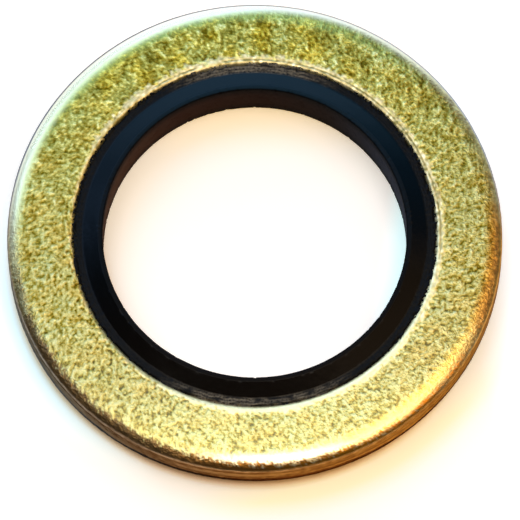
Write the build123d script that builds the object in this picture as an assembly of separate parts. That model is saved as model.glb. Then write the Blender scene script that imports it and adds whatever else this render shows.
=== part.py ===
from build123d import *
import os

# Bonded sealing washer for a 6 mm screw: a blanked steel ring with a rubber ring moulded and
# bonded into its hole. The rubber has a lip on each side that stands proud of the steel, so it
# is squeezed when the screw is tightened, until the steel takes the load.
#
# Millimetres. +Z runs along the bore. The origin is the centre of the plane that the washer
# rests on, which touches the crest of its lower lip. Each section is drawn as (radius, height
# over the middle plane), upper half only, because both halves are the same.

# Main sizes
bore_diameter = 6.75
outer_diameter = 11.0
steel_thickness = 1.0
rubber_width = 0.62  # from the bore to the steel

# Blanking draws the sheet down beside its outer cut, further along the face than along the wall.
# Around the smaller hole the edge is evenly round.
outer_roll_width = 0.42
outer_roll_depth = 0.18
hole_edge_radius = 0.12

# The lip has a rounded crest beside the bore and slopes down to a land that meets the steel
lip_proud = 0.12
lip_edge_radius = 0.05
lip_crest_width = 0.04
lip_slope_width = 0.37
lip_root_radius = 0.08
land_recess = 0.03

# Radii and half heights that follow from them
bore_radius = bore_diameter / 2
outer_radius = outer_diameter / 2
crest_radius = bore_radius + lip_edge_radius + lip_crest_width
lip_foot_radius = crest_radius + lip_slope_width
hole_radius = bore_radius + rubber_width
face_start = hole_radius + hole_edge_radius
face_end = outer_radius - outer_roll_width
steel_half = steel_thickness / 2
hole_wall_half = steel_half - hole_edge_radius
outer_wall_half = steel_half - outer_roll_depth
land_half = steel_half - land_recess
seal_half = steel_half + lip_proud


def ring_of(upper_outline):
    """Mirror the upper half of a section, revolve it and stand the ring on the rest plane."""
    section = make_face(upper_outline + mirror(upper_outline, about=Plane.XZ))
    ring = revolve(Plane.XZ * section, axis=Axis.Z)
    return Pos(0, 0, seal_half) * ring


# The steel's outline runs up the wall of the hole, over its round edge, across the flat face,
# over the outer roll and down the sheared wall. The roll is a quarter of an ellipse, which
# leaves the face and the wall without a corner.
steel_outline = Curve() + [
    Line((hole_radius, 0), (hole_radius, hole_wall_half)),
    CenterArc((face_start, hole_wall_half), hole_edge_radius, 180, -90),
    Line((face_start, steel_half), (face_end, steel_half)),
    EllipticalCenterArc(
        (face_end, outer_wall_half), outer_roll_width, outer_roll_depth, 90, arc_size=-90
    ),
    Line((outer_radius, outer_wall_half), (outer_radius, 0)),
]
steel_ring = ring_of(steel_outline)

# The rubber fills the hole and laps the lower part of its round edges. Its blank reaches under
# the flat face, and the steel is cut away from it, so that the two bonded faces are the same.
seal_outline = FilletPolyline(
    (bore_radius, 0),
    (bore_radius, seal_half),
    (crest_radius, seal_half),
    (lip_foot_radius, land_half),
    (face_start, land_half),
    (face_start, 0),
    radius=[lip_edge_radius, lip_edge_radius, lip_root_radius, 0],
)
rubber_seal = ring_of(seal_outline) - steel_ring

os.makedirs("parts", exist_ok=True)
export_step(steel_ring, "parts/steel_ring.step")
export_step(rubber_seal, "parts/rubber_seal.step")
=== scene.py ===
# %% [markdown]
# # A bonded sealing washer
# This washer is two pieces joined for life. A steel ring is blanked from sheet, zinc plated and
# passivated yellow. Then black nitrile rubber is moulded into its hole, with a lip that stands
# proud on each side. The scene loads the measured model first, because everything else is drawn
# around it and nothing may change its size.

# %% Load the measured model
import math
import bpy
import numpy as np
from mathutils import Matrix, Vector, noise


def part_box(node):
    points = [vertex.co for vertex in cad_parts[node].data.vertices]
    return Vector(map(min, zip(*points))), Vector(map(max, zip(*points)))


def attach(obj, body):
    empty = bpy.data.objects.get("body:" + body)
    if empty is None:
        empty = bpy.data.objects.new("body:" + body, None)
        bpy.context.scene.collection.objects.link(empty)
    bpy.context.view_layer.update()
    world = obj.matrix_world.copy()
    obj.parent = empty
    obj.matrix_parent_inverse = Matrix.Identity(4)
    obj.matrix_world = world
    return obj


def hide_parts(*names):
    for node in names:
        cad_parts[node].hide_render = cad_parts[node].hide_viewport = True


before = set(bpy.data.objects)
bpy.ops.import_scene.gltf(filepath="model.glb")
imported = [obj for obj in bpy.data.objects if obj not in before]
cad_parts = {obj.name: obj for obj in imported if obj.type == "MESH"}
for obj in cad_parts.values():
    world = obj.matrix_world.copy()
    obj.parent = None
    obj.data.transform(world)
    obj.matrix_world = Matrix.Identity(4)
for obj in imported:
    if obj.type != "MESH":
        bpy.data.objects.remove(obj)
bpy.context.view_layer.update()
MM = 0.001
steel_low, steel_high = (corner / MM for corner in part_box("steel_ring"))
rubber_low, rubber_high = (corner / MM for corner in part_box("rubber_seal"))
print("steel ring, mm:", steel_low, steel_high)
print("rubber seal, mm:", rubber_low, rubber_high)

# %% [markdown]
# ## The section
# Both pieces are bodies of revolution, so one section describes each of them. It could be read
# back from the model, but a dense mesh needs evenly spaced rows, so it is drawn again here from
# the model's box and a few sizes. Points are (radius, height over the middle plane) in
# millimetres, and only the upper half is drawn, because the washer is the same on both sides.

# %% Sizes of the section
outer_radius = steel_high.x
middle_z = rubber_high.z / 2
seal_half = middle_z
steel_half = (steel_high.z - steel_low.z) / 2
hole_radius = 3.995
hole_edge = 0.12
bore_radius = 3.375
lip_edge = 0.05
crest_end = 3.465
lip_foot = 3.835
land_half = 0.47
print("steel", 2 * steel_half, "mm thick, lip proud by", round(seal_half - steel_half, 3), "mm")


# %% Helpers that draw a section
def run(start, end, step):
    """Points about step apart on a straight line, without its last one."""
    count = max(1, round(math.dist(start, end) / step))
    return [tuple(p) for p in np.linspace(start, end, count + 1)[:-1]]


def bend(centre, width, height, start_deg, end_deg, step):
    """Points about step apart on part of an ellipse, without its last one."""
    length = math.radians(abs(end_deg - start_deg)) * (width + height) / 2
    count = max(2, round(length / step))
    angles = np.radians(np.linspace(start_deg, end_deg, count + 1)[:-1])
    return [(centre[0] + width * math.cos(a), centre[1] + height * math.sin(a)) for a in angles]


def both_sides(upper):
    """Close a section by mirroring its upper half, whose ends are on the middle plane."""
    return np.array(upper + [(r, -h) for r, h in reversed(upper[1:-1])])


# %% [markdown]
# ## Steel: the blanked ring
# A press blanks the ring, which draws the sheet down beside the cut. So the face isn't quite
# flat: it falls a little towards the outside, and then rolls over into the sheared wall. A
# bevelled cylinder would be quicker, but its face would be one flat polygon. The rows here are
# little more than half a blasted pit apart, so the mesh itself can carry the coarse grain.

# %% The steel's section
face_start = hole_radius + hole_edge
roll_width = 0.42
roll_depth = 0.14
face_fall = 0.06
face_end = outer_radius - roll_width
clamp_end = 4.235
bonded_step = 0.2
edge_step = 0.03
clamp_step = 0.02
face_step = 0.038
wall_step = 0.06
roll_foot = steel_half - roll_depth
hole_wall = steel_half - hole_edge
steel_upper = (
    run((hole_radius, 0.0), (hole_radius, hole_wall), bonded_step)
    + bend((face_start, hole_wall), hole_edge, hole_edge, 180, 90, edge_step)
    + run((face_start, steel_half), (clamp_end, steel_half), clamp_step)
    + run((clamp_end, steel_half), (face_end, steel_half), face_step)
    + bend((face_end, roll_foot), roll_width, roll_depth, 90, 0, face_step)
    + run((outer_radius, roll_foot), (outer_radius, 0.0), wall_step)
    + [(outer_radius, 0.0)]
)
steel_section = both_sides(steel_upper)
outward = np.clip((steel_section[:, 0] - face_start) / (outer_radius - face_start), 0, 1)
steel_section[:, 1] -= face_fall * outward**2 * np.clip(steel_section[:, 1] / roll_foot, -1, 1)
print("steel rows:", len(steel_section))


# %% [markdown]
# ## From a section to a ring
# A Screw modifier would turn a section too, but here each point also moves along its own
# normal by a small height, the relief. So the ring is built as a grid with numpy: one row for
# each point of the section, and one column for each step round the ring.

# %% Helpers that turn a section into a ring
def ring_grid(section, columns):
    """Points and normals of a turned section, as arrays of rows by columns."""
    edge = np.roll(section, -1, axis=0) - section
    edge /= np.linalg.norm(edge, axis=1)[:, None]
    along = edge + np.roll(edge, 1, axis=0)
    normal = np.stack([-along[:, 1], along[:, 0]], axis=1)
    normal /= np.linalg.norm(normal, axis=1)[:, None]
    turn = np.linspace(0, 2 * math.pi, columns, endpoint=False)
    circle = np.stack([np.cos(turn), np.sin(turn)], axis=1)
    shape = (len(section), columns)
    points = np.zeros(shape + (3,))
    points[:, :, :2] = section[:, None, :1] * circle
    points[:, :, 2] = section[:, 1:] + middle_z
    normals = np.zeros(shape + (3,))
    normals[:, :, :2] = normal[:, None, :1] * circle
    normals[:, :, 2] = normal[:, 1:]
    return points, normals


def ring_mesh(name, points):
    """Make a closed ring of quads from a grid of points in millimetres."""
    rows, columns = points.shape[:2]
    corner = np.arange(rows * columns).reshape(rows, columns)
    beside = np.roll(corner, -1, axis=1)
    above = np.roll(corner, -1, axis=0)
    opposite = np.roll(beside, -1, axis=0)
    faces = np.stack([corner, beside, opposite, above], axis=-1)
    mesh = bpy.data.meshes.new(name)
    mesh.from_pydata((points * MM).reshape(-1, 3), [], faces.reshape(-1, 4))
    mesh.polygons.foreach_set("use_smooth", np.ones(rows * columns, dtype=bool))
    mesh.update()
    piece = bpy.data.objects.new(name, mesh)
    bpy.context.scene.collection.objects.link(piece)
    print(name, 2 * len(mesh.polygons), "triangles")
    return piece


def paint(piece, name, mask):
    """Store a mask of 0 to 1 on the mesh, for its material to read."""
    mask = np.clip(mask, 0, 1)
    layer = piece.data.attributes.new(name, "FLOAT", "POINT")
    layer.data.foreach_set("value", mask.reshape(-1).astype(np.float32))
    print(name, "covers", round(float(mask.mean()), 3))


# %% [markdown]
# ## Relief and zones
# Perlin noise stands for everything random on the surface. Its size is given in millimetres,
# so each use can name the real thing that it draws, and a size that is longer along one axis
# makes streaks. The zones could be painted by hand. Here they come from radius, height and
# side, so they stay exact when a size changes.

# %% Helpers for relief and zones
SEED_STEP = 11.7


def rough(points, size, seed):
    """Noise from about -0.5 to 0.5 at each point. size is the width of a bump in millimetres, or
    its widths along x, y and z. Each seed reads another part of the noise."""
    scaled = points.reshape(-1, 3) / np.array(size) + seed * SEED_STEP
    return np.array([noise.noise(p) for p in scaled]).reshape(points.shape[:2])


def ringwise(points, radius):
    """The points with radius for height, so that a small third size draws rings."""
    return np.stack([points[:, :, 0], points[:, :, 1], radius], axis=2)


def ease(low, high, x):
    """0 below low, 1 above high, and a smooth rise between. It falls where low is the larger."""
    t = np.clip((x - low) / (high - low), 0, 1)
    return t * t * (3 - 2 * t)


def ridge(x, middle, width):
    """A smooth bump of height 1 round a middle value."""
    return np.exp(-(((x - middle) / width) ** 2))


def facing(points, radius, side):
    """How far each point lies towards a side, from -1 to 1. A side is (right, far) in plan."""
    return (side[0] * points[:, :, 0] + side[1] * points[:, :, 1]) / radius


# %% [markdown]
# ## Steel: blasted face, clamped ring and rubbed rim
# The faces were blasted with grit before plating. The mould then clamps a narrow ring beside
# the rubber, which it presses smooth, with an uneven border. Handling rubs the rim smooth as
# well: widest on the near right, and hardly at all on the near left, where it is knocked.
# Three masks say which finish each point has, and the blasted one is what the others leave.

# %% Which finish each point of the steel has
steel_columns = 920
points, normals = ring_grid(steel_section, steel_columns)
radius = np.linalg.norm(points[:, :, :2], axis=2)
height = np.abs(points[:, :, 2] - middle_z)
on_face = ease(0.25, 0.33, height)

left_front = (-0.94, -0.34)
clamp_radius = 4.21
clamp_fade = 0.05
clamp_edge = clamp_radius + 0.06 * rough(points, 0.5, 1) + 0.11 * rough(points, 0.08, 2)
clamp_edge -= 0.13 * ease(0.5, 0.9, facing(points, radius, left_front))
clamped = on_face * ease(clamp_fade, -clamp_fade, radius - clamp_edge)

knocked_side = (-0.77, -0.64)
window_side = (-0.5, 0.87)
right_side = (1.0, 0.0)
far_right = (0.64, 0.77)
near_right = (0.5, -0.87)
rub_start, rub_full = 5.14, 5.34
widening = 0.13 * np.clip(facing(points, outer_radius, near_right), 0, 1)
rubbing = 0.85
for side, start, full, wider, stronger in (
    (right_side, 0.85, 1.0, -0.12, 0.0),
    (far_right, 0.6, 0.95, -0.09, 0.0),
    (knocked_side, 0.62, 0.9, 0.0, -0.7),
    (right_side, 0.6, 0.95, 0.0, -0.55),
    (window_side, 0.5, 0.9, 0.02, 0.12),
):
    there = ease(start, full, facing(points, radius, side))
    widening = widening + wider * there
    rubbing = rubbing + stronger * there
rubbed = rubbing * ease(rub_start, rub_full, radius + widening)
blast = on_face * (1 - clamped) * (1 - rubbed)
print("blasted:", round(float(blast.mean()), 3), "and clamped:", round(float(clamped.mean()), 3))

# %% [markdown]
# ## Steel: the torn edge and the sheared wall
# The punch shears the first part of the wall and breaks the rest, so the wall's foot is rough,
# and it is painted dark, partly for the break and partly as shade under the wall. Where the
# roll meets the wall on the near side, small bits of the edge are torn. Noise is added to the
# radius before the mask is taken, which makes that border ragged. On the far side a thin dark
# line is painted along the wall's shoulder, as shade that the edge reflects there.

# %% Torn edge, wall, shaded foot and painted dark line
cut_side = (-0.15, -0.99)
far_side = (0.0, 1.0)
torn_start, torn_full = 5.35, 5.42
wall_start, wall_full = 5.46, 5.488
shoulder_start, shoulder_full = 5.448, 5.468
foot_start, foot_full = 0.12, 0.2
torn_bit = 0.045
bitten = radius + 0.12 * rough(points, torn_bit, 3) + 0.08 * rough(points, 0.2, 20)
bitten += 0.09 * ease(0.4, 0.9, facing(points, radius, knocked_side))
frayed = facing(points, radius, cut_side) + 0.3 * rough(points, 0.6, 18)
torn = ease(torn_start, torn_full, bitten) * ease(0.15, 0.6, frayed)
wall = ease(wall_start, wall_full, radius)
below = middle_z - points[:, :, 2] + 0.06 * rough(points, (0.4, 0.4, 0.08), 21)
# The foot's mask: its colour paints it dark, both as the rough break and as shade under the wall.
fracture_and_shade = wall * ease(foot_start, foot_full, below)
# Painted shade: a thin dark line along the far shoulder of the wall.
shoulder = ease(shoulder_start, shoulder_full, radius) * ease(0.26, 0.3, height)
shoulder *= ease(-0.1, 0.4, facing(points, radius, far_side))
print("torn:", round(float(torn.mean()), 3), "and wall:", round(float(wall.mean()), 3))

# %% [markdown]
# ## Steel: the relief
# Grit leaves overlapping pits some hundredths of a millimetre across. They are drawn somewhat
# coarser than life, because finer ones would not show. So are the lines that the mould pressed
# beside the rubber, and the long marks that the die scored round the wall. All heights are
# added up and the points moved, where a bump map would leave the outline smooth.

# %% The steel's mesh
pit_size, pit_depth = 0.065, 0.010
line_radius, line_width, line_depth = 4.135, 0.018, 0.008
wave_size, wave_height = 1.3, 0.004
score_height = 0.005
tear_height = 0.008
pits = rough(points, pit_size, 4) + 0.5 * rough(points, 2 * pit_size, 5)
line = ridge(radius, line_radius, line_width) * ease(-0.3, 0.1, rough(points, 0.8, 6)) * on_face
line *= ease(-0.2, 0.5, facing(points, radius, far_right))
waves = wave_height * rough(points, wave_size, 7)
lumps = 0.003 * rough(points, 0.055, 10) * (1 - blast) * (1 - wall)
lumps += clamped * (0.004 * rough(points, 0.13, 27) + 0.003 * rough(points, 0.06, 28))
scored = 0.7 * rough(points, (3.0, 3.0, 0.08), 8) + 0.45 * rough(points, (0.12, 0.12, 0.09), 26)
tears = tear_height * rough(points, torn_bit, 9) * torn
relief = blast * pit_depth * pits - line_depth * line + waves + lumps
relief = relief + score_height * scored * wall + tears
steel = ring_mesh("steel_ring_plated", points + normals * relief[:, :, None])
print("pits vary by", round(float(pits.std()), 3), "and scores by", round(float(scored.std()), 3))

# %% [markdown]
# ## Steel: what the plating has to know
# A material can't measure the section, so each zone is stored on the mesh as a number at every
# point. An image would need a flat layout of the ring, and these need none. Besides the
# finishes they hold the depth of the pits, the fine lines and how far the rim has rolled over.
# Two more hold painted reflections: a green tint on the far side, where the face turns towards
# the cool window, and a gold-orange one on the right, where the warm lamp stands.

# %% Masks for the plating
left_side = (-1.0, 0.0)
cool_reflection_side = (-0.2, 0.98)
lamp_side = (0.988, -0.156)
pressed = 0.3 * rough(ringwise(points, radius), (0.15, 0.15, 0.04), 19)
pressed = pressed + 0.5 * rough(points, 0.08, 23) - 0.4 * line
pressed -= 0.4 * ease(4.12, 4.05, radius) * ease(0.3, 0.8, facing(points, radius, left_side))
steel_masks = {
    "blast": blast,
    "clamped": clamped,
    "pit": 0.5 + pits,
    "drawn": 0.5 + (1 - wall) * pressed + wall * scored,
    "torn": torn,
    "wall": wall,
    "rolled": ease(5.2, 5.45, radius),
    # Painted reflection: a green tint where the far face turns towards the cool window.
    "cool_reflection": ease(4.98, 5.16, radius) * ease(0.5, 0.9, facing(points, radius, cool_reflection_side)),
    # Painted reflection of the warm lamp, beside the right rim.
    "warm_reflection": ease(5.08, 5.3, radius) * ease(0.95, 0.99, facing(points, radius, lamp_side)),
    "fracture_and_shade": fracture_and_shade,
    "shoulder": shoulder,
}
for name, mask in steel_masks.items():
    paint(steel, name, mask)

# %% [markdown]
# ## Rubber: the moulded seal
# The rubber was forced into the hole between the closed halves of a mould. It has a rounded
# crest at the bore, a slope, and a flat land that meets the steel. The two meshes could be cut
# to fit along a drawn border. Here the land simply runs on into the steel's round edge, and
# where its uneven surface comes through, it makes the ragged border that a real film has.

# %% The rubber's section
crest_start = bore_radius + lip_edge
crest_foot = seal_half - lip_edge
rubber_end = face_start - 0.01
bore_step = 0.06
lip_step = 0.012
crest_step = 0.02
slope_step = 0.035
land_step = 0.02
rubber_upper = (
    run((bore_radius, 0.0), (bore_radius, crest_foot), bore_step)
    + bend((crest_start, crest_foot), lip_edge, lip_edge, 180, 90, lip_step)
    + run((crest_start, seal_half), (crest_end, seal_half), crest_step)
    + run((crest_end, seal_half), (lip_foot, land_half), slope_step)
    + run((lip_foot, land_half), (rubber_end, land_half), land_step)
    + [(rubber_end, 0.0)]
)
rubber_columns = 1000
points, normals = ring_grid(both_sides(rubber_upper), rubber_columns)
radius = np.linalg.norm(points[:, :, :2], axis=2)
height = np.abs(points[:, :, 2] - middle_z)
print("rubber rows:", len(points))

# %% [markdown]
# ## Rubber: skin, land and flash
# The lip copies a polished mould, so it has only a faint skin. The land copies a turned and
# spark-eroded face, with a matt grain and fine rings, which are drawn coarser than turning
# marks are, so that they show. A thin flash creeps over the steel's edge, and small nicks mark
# the crest. The last line but one keeps all of this inside the measured height.

# %% The rubber's mesh
flash_start, flash_full = 3.96, 4.03
film_low, film_high = -0.03, 0.022
turned_pitch, turned_height = 0.06, 0.0018
nick_size, nick_depth = 0.07, 0.015
near_side = (0.0, -1.0)
land = ease(lip_foot - 0.03, lip_foot + 0.03, radius)
land = land * ease(land_half - 0.03, land_half - 0.01, height)
flash = ease(flash_start, flash_full, radius) * land
skin = 0.003 * rough(points, 0.4, 11) + 0.0015 * rough(points, 0.05, 12)
turned = np.sin(2 * math.pi * (radius / turned_pitch + 1.5 * rough(points, 0.5, 14)))
matt = land * (0.006 * rough(points, 0.06, 13) + turned_height * turned)
film = 0.12 * rough(points, 0.3, 22) + 0.15 * rough(points, 0.12, 15) + 0.2 * rough(points, 0.05, 16)
film = np.clip(film, film_low, film_high)
ragged = flash * (film - 0.03 * ease(0.4, 0.9, facing(points, radius, near_side)))
nicks = ease(0.3, 0.5, rough(points, nick_size, 17)) * ease(crest_end + 0.02, crest_end, radius)
relief = skin + matt + ragged - nick_depth * nicks
points = points + normals * relief[:, :, None]
points[:, :, 2] = np.clip(points[:, :, 2], rubber_low.z, rubber_high.z)
seal = ring_mesh("rubber_seal_moulded", points)

# %% [markdown]
# ## Rubber: what its material has to know
# On the far and near sides the land's turned rings catch the light, so pale glints are painted
# there, in streaks that follow the ring. Painting them by hand would be slow, and a noise that
# is stretched round the ring draws them at once. The other masks tell the land, the bore and
# the crest apart, because each shines differently.

# %% Masks for the rubber
# Painted glints: where the land's rings catch the light, on the far and near sides.
ring_glint = ease(0.86, 1.0, facing(points, radius, far_side))
ring_glint = land * (ring_glint + ease(0.82, 1.0, facing(points, radius, near_side)))
streaks = rough(ringwise(points, radius), (0.2, 0.2, 0.06), 24) + 0.5 * rough(points, 0.35, 25)
rubber_masks = {
    "land": land,
    "ring_glint": ring_glint * ease(-0.7, 0.2, streaks),
    "bore": ease(bore_radius + 0.03, bore_radius + 0.01, radius),
    "crest": ease(crest_end + 0.03, crest_end, radius),
}
for name, mask in rubber_masks.items():
    paint(seal, name, mask)


# %% [markdown]
# ## Colour and nodes
# Colours are written as sRGB hex, as a colour picker shows them, and turned to the linear values
# that Blender renders with. One helper adds any node, so a material reads as a list of steps.
# Inputs go by name, and by number where a node has several of one name. The helper makes a
# node's settings first, because they decide which of a Mix node's sockets a name finds.

# %% Helpers for materials
def linear(hex_colour):
    """Linear RGBA of an sRGB hex colour."""
    channels = [int(hex_colour[i : i + 2], 16) / 255 for i in (1, 3, 5)]
    light = [c / 12.92 if c <= 0.04045 else ((c + 0.055) / 1.055) ** 2.4 for c in channels]
    return (*light, 1.0)


def add(tree, kind, inputs=None, stops=None, **settings):
    """Add a node. inputs are numbers, hex colours or sockets, by input name or number. stops are
    the positions and hex colours of a ramp, and settings are the node's own fields."""
    node = tree.nodes.new("ShaderNode" + kind)
    for field, value in settings.items():
        setattr(node, field, value)
    for key, value in (inputs or {}).items():
        if isinstance(value, bpy.types.NodeSocket):
            tree.links.new(value, node.inputs[key])
        else:
            node.inputs[key].default_value = linear(value) if isinstance(value, str) else value
    if stops:
        elements = node.color_ramp.elements
        elements.remove(elements[1])
        elements[0].position = min(stops)
        elements[0].color = linear(stops[min(stops)])
        for position in sorted(stops)[1:]:
            elements.new(position).color = linear(stops[position])
    return node


def blank_material(name):
    """A material with an empty tree, and object space in millimetres as its coordinates."""
    material = bpy.data.materials.new(name)
    material.use_nodes = True
    tree = material.node_tree
    tree.nodes.clear()
    place = add(tree, "TexCoord").outputs["Object"]
    mm = add(tree, "VectorMath", {0: place, "Scale": 1 / MM}, operation="SCALE").outputs["Vector"]
    return material, tree, mm


# %% [markdown]
# ## Yellow zinc plate
# Electroplated zinc on blasted steel, dipped in a yellow chromate passivation. The film is thin
# and uneven, so the yellow drifts to green, gold and brown. Part of that drift round the ring
# is painted light: the far green, the right gold-orange, the wall's brown and the pale front
# stand partly for reflections and shade. It is a metal, so its colour is the colour of its
# reflections: pits look olive, and high spots pale. The material reads the masks of the mesh,
# and how far each point lies towards three sides of the washer: in millimetres along it, and
# as a share from 0 to 1 across the whole ring.

# %% What the plating's material reads
zinc, tree, mm = blank_material("yellow_zinc_plate")
zone = {name: add(tree, "Attribute", attribute_name=name).outputs["Fac"] for name in steel_masks}
along = {}
share = {}
for side, direction in (
    ("right", (1.0, 0.0, 0.0)),
    ("near", (0.12, -0.99, 0.0)),
    ("sunny", (0.94, -0.34, 0.0)),
):
    dot = add(tree, "VectorMath", {0: mm, 1: direction}, operation="DOT_PRODUCT")
    along[side] = dot.outputs["Value"]
    share[side] = add(tree, "MapRange", {
        "Value": along[side], "From Min": -outer_radius, "From Max": outer_radius}).outputs["Result"]
print("the plating reads", len(zone), "masks and", len(share), "sides")

# %% [markdown]
# ### Grain
# The finest pits are too small for the mesh, so a noise node adds them to the mesh's own, drawn
# as coarse as they need to show. A wider noise gathers them into blotches, most on the far
# half. Then two ramps turn the grain into colour, and the near side is painted lighter, for
# the light from above that falls on it. On the near side most of it is pale, with olive pits.
# On the far side most of it is olive, with pale high spots. How strongly the grain shows is set
# by side as well.

# %% Colour of the grain
fine_pit = 0.055
blotch = 0.3
fine = add(tree, "TexNoise", {
    "Vector": mm, "Scale": 1 / fine_pit, "Detail": 2.0, "Roughness": 0.6}).outputs["Fac"]
coarse = add(tree, "TexNoise", {"Vector": mm, "Scale": 1 / blotch, "Detail": 1.0}).outputs["Fac"]
grain = add(tree, "Mix", {"Factor": 0.5, "A": zone["pit"], "B": fine}).outputs["Result"]
blotchy = add(tree, "MapRange", {
    "Value": share["near"], "From Max": 0.5, "To Min": 0.45, "To Max": 0.12}).outputs["Result"]
grain = add(tree, "Mix", {"Factor": blotchy, "A": grain, "B": coarse}).outputs["Result"]
contrast = add(tree, "ValToRGB", {"Fac": share["near"]}, {
    0.0: "#FFFFFF", 0.5: "#D4D4D4", 0.8: "#F8F8F8", 1.0: "#E4E4E4"}).outputs["Color"]
grain = add(tree, "Math", {0: grain, 1: 0.5}, operation="SUBTRACT").outputs["Value"]
grain = add(tree, "Math", {
    0: grain, 1: contrast, 2: 0.5}, operation="MULTIPLY_ADD").outputs["Value"]
# Painted light: the near ramp is paler than the far one, which stands for shade.
near_grain = add(tree, "ValToRGB", {"Fac": grain}, {
    0.28: "#4C3C00", 0.40: "#BAA84C", 0.50: "#E2DAA4", 0.64: "#F8F4D0"}).outputs["Color"]
far_grain = add(tree, "ValToRGB", {"Fac": grain}, {
    0.345: "#60541A", 0.51: "#9C9450", 0.61: "#CEC890", 0.72: "#FFFFF2"}).outputs["Color"]
pitted = add(tree, "Mix", {
    "Factor": share["near"], "A": far_grain, "B": near_grain}, data_type="RGBA").outputs["Result"]
print("nodes after the grain:", len(tree.nodes))

# %% [markdown]
# ### Passivation film
# A chromate film changes colour with its thickness, and it pooled and drained in patches about
# half a millimetre wide. They lean to gold on the left, and are strongest at the far edge. Most
# tints are multiplied over the grain, as a clear coloured film would look. Then comes painted
# light: shade towards the left and right sides, a green reflection of the cool window on the
# far side, a gold-orange reflection of the warm lamp beside the right rim, and a paler front,
# where the light from above falls.

# %% Colour of the blasted face
patch = 0.5
lean = -0.008
cool_reflection_strength = 0.32
drift = add(tree, "TexNoise", {"Vector": mm, "Scale": 1 / patch, "Detail": 2.0}).outputs["Fac"]
drift = add(tree, "Math", {
    0: along["right"], 1: lean, 2: drift}, operation="MULTIPLY_ADD").outputs["Value"]
film = add(tree, "ValToRGB", {"Fac": drift}, {
    0.36: "#E8F0D0", 0.5: "#F0F2CC", 0.66: "#F4EAB4"}).outputs["Color"]
far_film = add(tree, "ValToRGB", {"Fac": drift}, {
    0.38: "#E2ECD6", 0.5: "#F0F2CC", 0.62: "#F8EC98"}).outputs["Color"]
at_far_edge = add(tree, "MapRange", {
    "Value": share["near"], "From Min": 0.24, "From Max": 0.1}).outputs["Result"]
film = add(tree, "Mix", {
    "Factor": at_far_edge, "A": film, "B": far_film}, data_type="RGBA").outputs["Result"]
# Painted shade: the face is darker towards the left and right than at its far and near edges.
side_shade = add(tree, "ValToRGB", {"Fac": share["near"]}, {
    0.0: "#ECECC8", 0.5: "#D6D4CE", 0.8: "#CECAC0", 1.0: "#ECF0EA"}).outputs["Color"]
# Painted reflection of the cool window, green on the far side of the face.
cool_reflection = add(tree, "Math", {
    0: zone["cool_reflection"], 1: cool_reflection_strength}, operation="MULTIPLY").outputs["Value"]
# Painted light: the face turns paler towards the front, where the light from above falls.
paler = add(tree, "MapRange", {
    "Value": along["near"], "From Min": 1.5, "From Max": 5.5, "To Max": 0.18}).outputs["Result"]
face_colour = pitted
for amount, tint, blend in (
    (1.0, film, "MULTIPLY"),
    (1.0, side_shade, "MULTIPLY"),
    (cool_reflection, "#ACCA74", "MIX"),
    (zone["warm_reflection"], "#FFCE88", "MULTIPLY"),
    (paler, "#FCF8B8", "MIX"),
):
    face_colour = add(tree, "Mix", {
        "Factor": amount, "A": face_colour, "B": tint},
        data_type="RGBA", blend_type=blend).outputs["Result"]
print("nodes after the film:", len(tree.nodes))

# %% [markdown]
# ### Rim
# The rubbed rim mirrors the room, so its colour is nearly white, with a painted warm
# reflection that makes it lean gold on the right. The film shows yellow-green where the face
# folds over, and less as the rim rolls down; on the far side the fold is painted greener, for
# the cool window it reflects. The front of the fold carries a painted highlight, whitest, and
# the right rim is tinted gold-orange like the face beside it, a painted reflection of the warm
# lamp.

# %% Colour of the rim
# The rim leans gold on the right, a painted warm reflection.
rim = add(tree, "ValToRGB", {"Fac": share["sunny"]}, {
    0.03: "#F4E8C4", 0.12: "#FFF0D6", 0.33: "#FFF8E4",
    0.5: "#FFF4DC", 0.88: "#FFEEB8", 0.97: "#F8EAB8"}).outputs["Color"]
# On the far side the fold is painted greener, for the cool window it reflects.
fold_tint = add(tree, "ValToRGB", {"Fac": share["near"]}, {
    0.2: "#E8EEC4", 0.6: "#F8EAA4"}).outputs["Color"]
fold = add(tree, "Mix", {
    "Factor": 1.0, "A": rim, "B": fold_tint},
    data_type="RGBA", blend_type="MULTIPLY").outputs["Result"]
front = add(tree, "VectorMath", {0: mm, 1: (0.0, -1.0, 0.0)}, operation="DOT_PRODUCT")
# Painted highlight: the front of the fold is made whitest.
front_highlight = add(tree, "MapRange", {
    "Value": front.outputs["Value"], "From Min": 4.8, "From Max": 5.3, "To Max": 0.75}).outputs["Result"]
on_fold = add(tree, "MapRange", {
    "Value": zone["rolled"], "From Min": 0.9, "From Max": 0.5}).outputs["Result"]
front_highlight = add(tree, "Math", {0: front_highlight, 1: on_fold}, operation="MULTIPLY").outputs["Value"]
rim_colour = fold
for amount, tint, blend in (
    (zone["rolled"], rim, "MIX"),
    (front_highlight, "#FFFFFA", "MIX"),
    (zone["warm_reflection"], "#FADAB8", "MULTIPLY"),
):
    rim_colour = add(tree, "Mix", {
        "Factor": amount, "A": rim_colour, "B": tint},
        data_type="RGBA", blend_type=blend).outputs["Result"]
print("nodes after the rim:", len(tree.nodes))

# %% [markdown]
# ### Clamped ring, torn edge and wall
# The clamped ring is smooth, with the mould's lines in it, and painted palest in front, for the
# light from above. The torn edge is painted brown for the shade it lies in, and golden for the
# warm light on the right. The wall was sheared before plating and took the film badly, so it is
# brown too, with paler marks where the die burnished it; its colour also paints the shaded
# paper that it reflects, grey-brown on the left and gold on the right. Its broken foot is
# painted darkest, partly for the rough break and partly as shade under the wall, with a painted
# blue-grey reflection on the left. A thin dark line on the far shoulder is painted shade.

# %% Colours beside the rubber and round the wall
ring_lines = add(tree, "ValToRGB", {"Fac": zone["drawn"]}, {
    0.15: "#7C7444", 0.4: "#AEA272", 0.6: "#CCC092", 0.85: "#EEE4BE"}).outputs["Color"]
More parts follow.
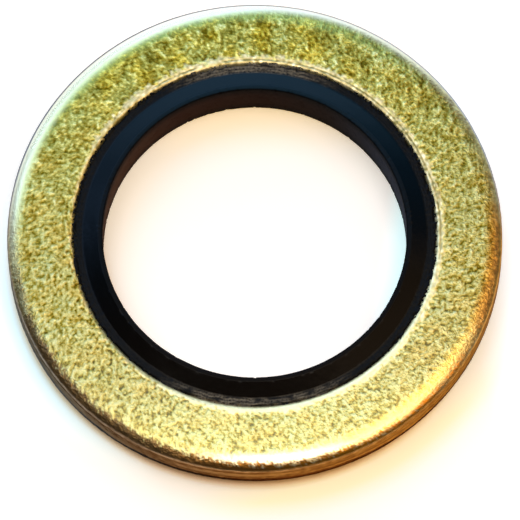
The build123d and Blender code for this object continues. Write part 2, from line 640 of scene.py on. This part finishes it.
# Painted light: the clamped ring turns paler towards the front.
palest = add(tree, "MapRange", {
    "Value": along["near"], "From Min": 0.0, "From Max": 4.4, "To Max": 0.85}).outputs["Result"]
ring_colour = add(tree, "Mix", {
    "Factor": palest, "A": ring_lines, "B": "#FFF2B8"}, data_type="RGBA").outputs["Result"]
# Painted light: the torn edge is brown on the shaded side and golden in the warm light.
torn_colour = add(tree, "ValToRGB", {"Fac": share["sunny"]}, {
    0.45: "#70593A", 0.67: "#96662C", 0.85: "#C88A2A", 0.93: "#E8A03C"}).outputs["Color"]
# Partly painted reflection: the wall is grey-brown on the left and gold on the right.
sheared = add(tree, "ValToRGB", {"Fac": share["right"]}, {
    0.07: "#A4A49C", 0.25: "#A8927A", 0.5: "#CCA06C",
    0.75: "#EAB46C", 0.95: "#E4AE62"}).outputs["Color"]
die_marks = add(tree, "ValToRGB", {"Fac": zone["drawn"]}, {
    0.2: "#C0B0A0", 0.5: "#E0D6CA", 0.8: "#FCF6F0"}).outputs["Color"]
wall_colour = add(tree, "Mix", {
    "Factor": 1.0, "A": sheared, "B": die_marks},
    data_type="RGBA", blend_type="MULTIPLY").outputs["Result"]
# Painted shade at the wall's foot, over its rough break, with a painted blue-grey reflection on the
# left.
foot_colour = add(tree, "ValToRGB", {"Fac": share["sunny"]}, {
    0.2: "#6C7884", 0.42: "#504A48", 0.55: "#503C2C", 0.75: "#784E2A"}).outputs["Color"]
# Colour of the painted dark line on the far shoulder.
shoulder_colour = add(tree, "ValToRGB", {"Fac": share["right"]}, {
    0.3: "#787F88", 0.6: "#B4B6B4"}).outputs["Color"]
print("nodes after the wall:", len(tree.nodes))

# %% [markdown]
# ### The plating put together
# The zones lie over each other like coats of paint, from the rim up. Zinc is a metal, so the
# shader is metallic and keeps its usual IOR. A metal's specular tint is its colour where it is
# seen at a slant, and a dark one keeps the roll from turning white. The blasted face is a little
# rougher than the rim, and the wall and the clamped ring are rougher still.

# %% Yellow zinc plate
plate_colour = rim_colour
for coat, colour in (
    ("clamped", ring_colour),
    ("blast", face_colour),
    ("torn", torn_colour),
    ("wall", wall_colour),
    ("fracture_and_shade", foot_colour),
    ("shoulder", shoulder_colour),
):
    plate_colour = add(tree, "Mix", {
        "Factor": zone[coat], "A": plate_colour, "B": colour}, data_type="RGBA").outputs["Result"]
rim_roughness = 0.27
blast_rougher = 0.08
dull_rougher = 0.16
fine_pit_depth = 0.03
strength = add(tree, "Math", {
    0: zone["blast"], 1: 0.55, 2: 0.12}, operation="MULTIPLY_ADD").outputs["Value"]
bump = add(tree, "Bump", {"Height": fine, "Strength": strength, "Distance": fine_pit_depth * MM})
dull = add(tree, "Math", {
    0: zone["wall"], 1: zone["clamped"]}, operation="MAXIMUM").outputs["Value"]
roughness = add(tree, "Math", {
    0: zone["blast"], 1: blast_rougher, 2: rim_roughness}, operation="MULTIPLY_ADD").outputs["Value"]
roughness = add(tree, "Math", {
    0: dull, 1: dull_rougher, 2: roughness}, operation="MULTIPLY_ADD").outputs["Value"]
shader = add(tree, "BsdfPrincipled", {
    "Base Color": plate_colour, "Metallic": 1.0, "Roughness": roughness,
    "Specular Tint": "#5C5C5C", "Normal": bump.outputs["Normal"]})
add(tree, "OutputMaterial", {"Surface": shader.outputs["BSDF"]})
steel.data.materials.append(zinc)
print(zinc.name, "has", len(tree.nodes), "nodes")

# %% [markdown]
# ## Nitrile rubber
# Rubber filled with carbon black, out of a polished mould. The lip's sheen is painted into its
# colour, blue-black on the far side and warmer in front. The bore's colour paints the light that
# the paper throws back, brown on the left and blue-grey on the right, with painted shade
# towards both of its edges. The land was moulded against a spark-eroded face, so it is matt and
# looks a little dusty.

# %% Colours of lip, land and bore
nitrile, tree, mm = blank_material("nitrile_rubber")
zone = {name: add(tree, "Attribute", attribute_name=name).outputs["Fac"] for name in rubber_masks}
lip_reach = 3.8
bore_reach = 3.4
dust_size = 0.05
share = {}
for side, direction, low, high in (
    ("far", (0.0, 1.0, 0.0), -lip_reach, lip_reach),
    ("right", (1.0, 0.0, 0.0), -bore_reach, bore_reach),
    ("up", (0.0, 0.0, 1.0), 0.0, 2 * seal_half),
):
    dot = add(tree, "VectorMath", {0: mm, 1: direction}, operation="DOT_PRODUCT")
    share[side] = add(tree, "MapRange", {
        "Value": dot.outputs["Value"], "From Min": low, "From Max": high}).outputs["Result"]
mottle = add(tree, "TexNoise", {"Vector": mm, "Scale": 1 / dust_size, "Detail": 3.0}).outputs["Fac"]
dusty = add(tree, "ValToRGB", {"Fac": mottle}, {0.5: "#020201", 0.9: "#12100C"}).outputs["Color"]
# Painted sheen: blue-black on the far side, warmer in front.
sheen = add(tree, "ValToRGB", {"Fac": share["far"]}, {
    0.0: "#0A0502", 0.35: "#020202", 0.7: "#030F18", 1.0: "#08202C"}).outputs["Color"]
# Painted light in the bore: brown on the left and blue-grey on the right.
bore_bounce = add(tree, "ValToRGB", {"Fac": share["right"]}, {
    0.07: "#4C3020", 0.25: "#381E12", 0.5: "#2C160C",
    0.75: "#201410", 0.93: "#2E323E"}).outputs["Color"]
# Painted shade towards the bore's top and bottom edges.
edge_shade = add(tree, "ValToRGB", {"Fac": share["up"]}, {
    0.02: "#404040", 0.3: "#FFFFFF", 0.7: "#FFFFFF", 0.98: "#404040"}).outputs["Color"]
bore_bounce = add(tree, "Mix", {
    "Factor": 1.0, "A": bore_bounce, "B": edge_shade},
    data_type="RGBA", blend_type="MULTIPLY").outputs["Result"]
print("nodes after the rubber's colours:", len(tree.nodes))

# %% [markdown]
# ### Painted glints on the land
# The land keeps the rings of the turned mould. They are too fine to show, so they are drawn
# 0.07 mm apart. A wave node draws them, and its pattern repeats every 0.314 units at scale 1.
# A fine noise breaks them up, and on the far and near sides they are painted pale, as glints where the
# rings catch the light.

# %% Nitrile rubber
ring_pitch = 0.07
one_ring = 0.314
lip_roughness = 0.24
rings = add(tree, "TexWave", {
    "Vector": mm, "Scale": one_ring / ring_pitch, "Distortion": 5.0, "Detail": 2.0},
    wave_type="RINGS", rings_direction="Z").outputs["Fac"]
marks = add(tree, "Math", {0: rings, 1: 0.25, 2: mottle}, operation="MULTIPLY_ADD").outputs["Value"]
# The painted glints show pale where the rings and the noise run high.
glinting = add(tree, "MapRange", {
    "Value": marks, "From Min": 0.35, "From Max": 0.85}).outputs["Result"]
glinting = add(tree, "Math", {
    0: glinting, 1: zone["ring_glint"]}, operation="MULTIPLY").outputs["Value"]
rubber_colour = sheen
for amount, colour in ((zone["land"], dusty), (zone["bore"], bore_bounce), (glinting, "#706858")):
    rubber_colour = add(tree, "Mix", {
        "Factor": amount, "A": rubber_colour, "B": colour}, data_type="RGBA").outputs["Result"]
roughness = lip_roughness
for part, rougher in (("crest", 0.4), ("bore", 0.3), ("land", 0.2)):
    roughness = add(tree, "Math", {
        0: zone[part], 1: rougher, 2: roughness}, operation="MULTIPLY_ADD").outputs["Value"]
strength = add(tree, "Math", {
    0: zone["land"], 1: 0.25, 2: 0.05}, operation="MULTIPLY_ADD").outputs["Value"]
bump = add(tree, "Bump", {"Height": marks, "Strength": strength, "Distance": 0.006 * MM})
shader = add(tree, "BsdfPrincipled", {
    "Base Color": rubber_colour, "Roughness": roughness, "Specular IOR Level": 0.11,
    "Specular Tint": "#D4DCE6", "Normal": bump.outputs["Normal"]})
add(tree, "OutputMaterial", {"Surface": shader.outputs["BSDF"]})
seal.data.materials.append(nitrile)
print(nitrile.name, "has", len(tree.nodes), "nodes")

# %% [markdown]
# ## Take the model's place
# Each dense ring stands for its piece of the model, and rides on the one body that the washer is.

# %% Ride and replace
for piece, cad_node, finish in (
    (steel, "steel_ring", "yellow_zinc_steel"),
    (seal, "rubber_seal", "nitrile_rubber"),
):
    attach(piece, "root")
    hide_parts(cad_node)
    print(piece.name, "stands for", cad_node)

# %% [markdown]
# ## Table
# A sheet of white paper, which is only a stage, so a plane will do. A little of its white is
# added for what the camera and the metal see only, so that it looks like paper in full light,
# and keeps the washer's soft shadow. An Ambient Occlusion node tells how open each spot is, and
# two ramps make the shadow in front of the washer warm, like light that came off the brown wall.

# %% The paper's shadow
bpy.ops.mesh.primitive_plane_add(size=1.2)
table = bpy.context.object
table.name = "table"
paper, tree, mm = blank_material("white_paper")
shadow_reach = 0.3
path = add(tree, "LightPath").outputs
mirrored = add(tree, "Math", {
    0: path["Is Glossy Ray"], 1: path["Is Transmission Ray"]}, operation="MAXIMUM").outputs["Value"]
seen = add(tree, "Math", {
    0: path["Is Camera Ray"], 1: mirrored}, operation="MAXIMUM").outputs["Value"]
openness = add(tree, "AmbientOcclusion", {"Distance": shadow_reach * MM}, samples=8).outputs["AO"]
frontward = add(tree, "VectorMath", {0: mm, 1: (-0.4, -0.92, 0.0)}, operation="DOT_PRODUCT")
in_front = add(tree, "MapRange", {
    "Value": frontward.outputs["Value"], "From Min": 0.5, "From Max": 4.0}).outputs["Result"]
openness = add(tree, "Mix", {"Factor": in_front, "A": 1.0, "B": openness}).outputs["Result"]
added_colour = add(tree, "ValToRGB", {"Fac": openness}, {
    0.42: "#4A2C14", 0.7: "#E8B478", 0.95: "#FFF0D8"}).outputs["Color"]
paper_colour = add(tree, "ValToRGB", {"Fac": openness}, {
    0.4: "#94683C", 0.65: "#DCB890", 0.95: "#F4F4F4"}).outputs["Color"]
print("nodes after the shadow:", len(tree.nodes))

# %% [markdown]
# ### Light that the washer throws on the paper
# Close to the washer the paper isn't quite white. It is cool and bright on the left, cream on
# the near right and faintly cool on the right. Inside the bore it is warm on the far side and
# cool on the right. Light that metal throws is a caustic, which needs many samples to come out
# clean, so each of these is painted as a tint that fades in towards one side.

# %% White paper
away = add(tree, "VectorMath", {0: mm}, operation="LENGTH").outputs["Value"]
beside, just_beside, in_bore = (
    add(tree, "MapRange", {"Value": away, "From Min": none, "From Max": full}).outputs["Result"]
    for none, full in ((6.1, 5.6), (6.3, 5.9), (4.2, 3.9))
)
anywhere = 1.0
added = 0.34
for direction, start, full, where, blend, tint, brighter in (
    ((-0.9, -0.43, 0.0), 4.2, 5.5, beside, "MULTIPLY", "#D0EEFF", 0.38),
    ((0.42, -0.91, 0.0), 4.6, 5.4, just_beside, "MULTIPLY", "#FFFCE4", 0.05),
    ((0.0, 1.0, 0.0), 2.2, 3.2, in_bore, "MIX", "#FFD890", 0.11),
    ((0.99, -0.14, 0.0), 2.75, 3.15, in_bore, "MIX", "#D0FFF8", 0.16),
    ((1.0, 0.2, 0.0), 4.4, 5.4, anywhere, "MIX", "#E4F4FF", 0.12),
):
    dot = add(tree, "VectorMath", {0: mm, 1: direction}, operation="DOT_PRODUCT")
    amount = add(tree, "MapRange", {
        "Value": dot.outputs["Value"], "From Min": start, "From Max": full}).outputs["Result"]
    amount = add(tree, "Math", {0: amount, 1: where}, operation="MULTIPLY").outputs["Value"]
    added_colour = add(tree, "Mix", {
        "Factor": amount, "A": added_colour, "B": tint},
        data_type="RGBA", blend_type=blend).outputs["Result"]
    if blend == "MULTIPLY":
        paper_colour = add(tree, "Mix", {
            "Factor": amount, "A": paper_colour, "B": tint},
            data_type="RGBA", blend_type=blend).outputs["Result"]
    added = add(tree, "Math", {
        0: amount, 1: brighter, 2: added}, operation="MULTIPLY_ADD").outputs["Value"]
added = add(tree, "Math", {0: seen, 1: added}, operation="MULTIPLY").outputs["Value"]
shader = add(tree, "BsdfPrincipled", {
    "Base Color": paper_colour, "Roughness": 0.8, "Specular IOR Level": 0.2,
    "Emission Color": added_colour, "Emission Strength": added})
add(tree, "OutputMaterial", {"Surface": shader.outputs["BSDF"]})
table.data.materials.append(paper)
print(paper.name, "has", len(tree.nodes), "nodes")


# %% [markdown]
# ## Light
# Four softboxes round the table. Metal shows what it mirrors, so each box is placed by what it
# has to show in: the large one above lights the faces, the cool window behind on the left
# draws the far rim, and the small warm lamp on the right glows in the right rim, where the
# plating's colour paints its warm reflection as well. A wide low backdrop behind shows where
# the far rim is steepest, and gives the far lip a sheen, which the rubber's colour paints
# blue-black as well. Point lamps would leave sparks on the grain. The powers of the boxes add
# up to a plain level, at which white paper is just white.

# %% Softboxes
def softbox(name, azimuth, elevation, distance, width, depth, radiance, colour):
    """A rectangular area light aimed at the washer. azimuth runs from +Y towards +X, in degrees."""
    box = bpy.data.lights.new(name, "AREA")
    box.shape = "RECTANGLE"
    box.size = width
    box.size_y = depth
    box.energy = radiance * math.pi * width * depth
    box.color = linear(colour)[:3]
    lamp = bpy.data.objects.new(name, box)
    az, el = math.radians(azimuth), math.radians(elevation)
    flat = math.cos(el)
    spot = Vector((math.sin(az) * flat, math.cos(az) * flat, math.sin(el))) * distance
    lamp.location = spot
    lamp.rotation_euler = (-spot).to_track_quat("-Z", "Y").to_euler()
    bpy.context.scene.collection.objects.link(lamp)
    print(name, "at", [round(v, 3) for v in spot], "radiance", radiance)


softbox("box_above", 180, 86, 0.15, 0.12, 0.07, 4.2, "#FFF2DC")
softbox("lamp_right", 95, 62, 0.25, 0.18, 0.18, 1.6, "#FFC88C")
softbox("window_left", -29, 55, 0.3, 0.28, 0.18, 2.9, "#B0D2FF")
softbox("backdrop", -10, 17, 0.5, 1.75, 0.34, 1.6, "#CCE2FF")
world = bpy.data.worlds.new("studio")
bpy.context.scene.world = world
world.use_nodes = True
world.node_tree.nodes["Background"].inputs["Color"].default_value = linear("#5C5C58")

# %% [markdown]
# ## Camera
# A long lens looks down at the washer from the near side, at 71 degrees. The aim is a fraction
# of a millimetre off the centre, so the washer sits a little off the middle of the frame. The
# camera is also rolled by a little over half a degree, as one that is held by hand would be.

# %% Camera
aim = Vector((0.110, -0.224, 0.0)) * MM
camera_distance = 227.1 * MM
elevation = math.radians(71.01)
azimuth = math.radians(0.096)
roll = math.radians(-0.635)
lens = bpy.data.cameras.new("camera")
lens.sensor_width = 36.0
lens.lens = 705.1
lens.clip_start = 0.01
camera = bpy.data.objects.new("camera", lens)
bpy.context.scene.collection.objects.link(camera)
bpy.context.scene.camera = camera
heading = Vector((math.sin(azimuth), math.cos(azimuth), 0.0))
forward = heading * math.cos(elevation) - Vector((0.0, 0.0, math.sin(elevation)))
level_right = forward.cross(Vector((0.0, 0.0, 1.0))).normalized()
right = level_right * math.cos(roll) + level_right.cross(forward) * math.sin(roll)
camera.location = aim - forward * camera_distance
camera.rotation_euler = Matrix((right, right.cross(forward), -forward)).transposed().to_euler()
print("camera at", [round(v, 4) for v in camera.location])

# %% [markdown]
# ## Finish
# The standard view transform shows colours as written.

# %% Finish
bpy.context.scene.view_settings.view_transform = "Standard"
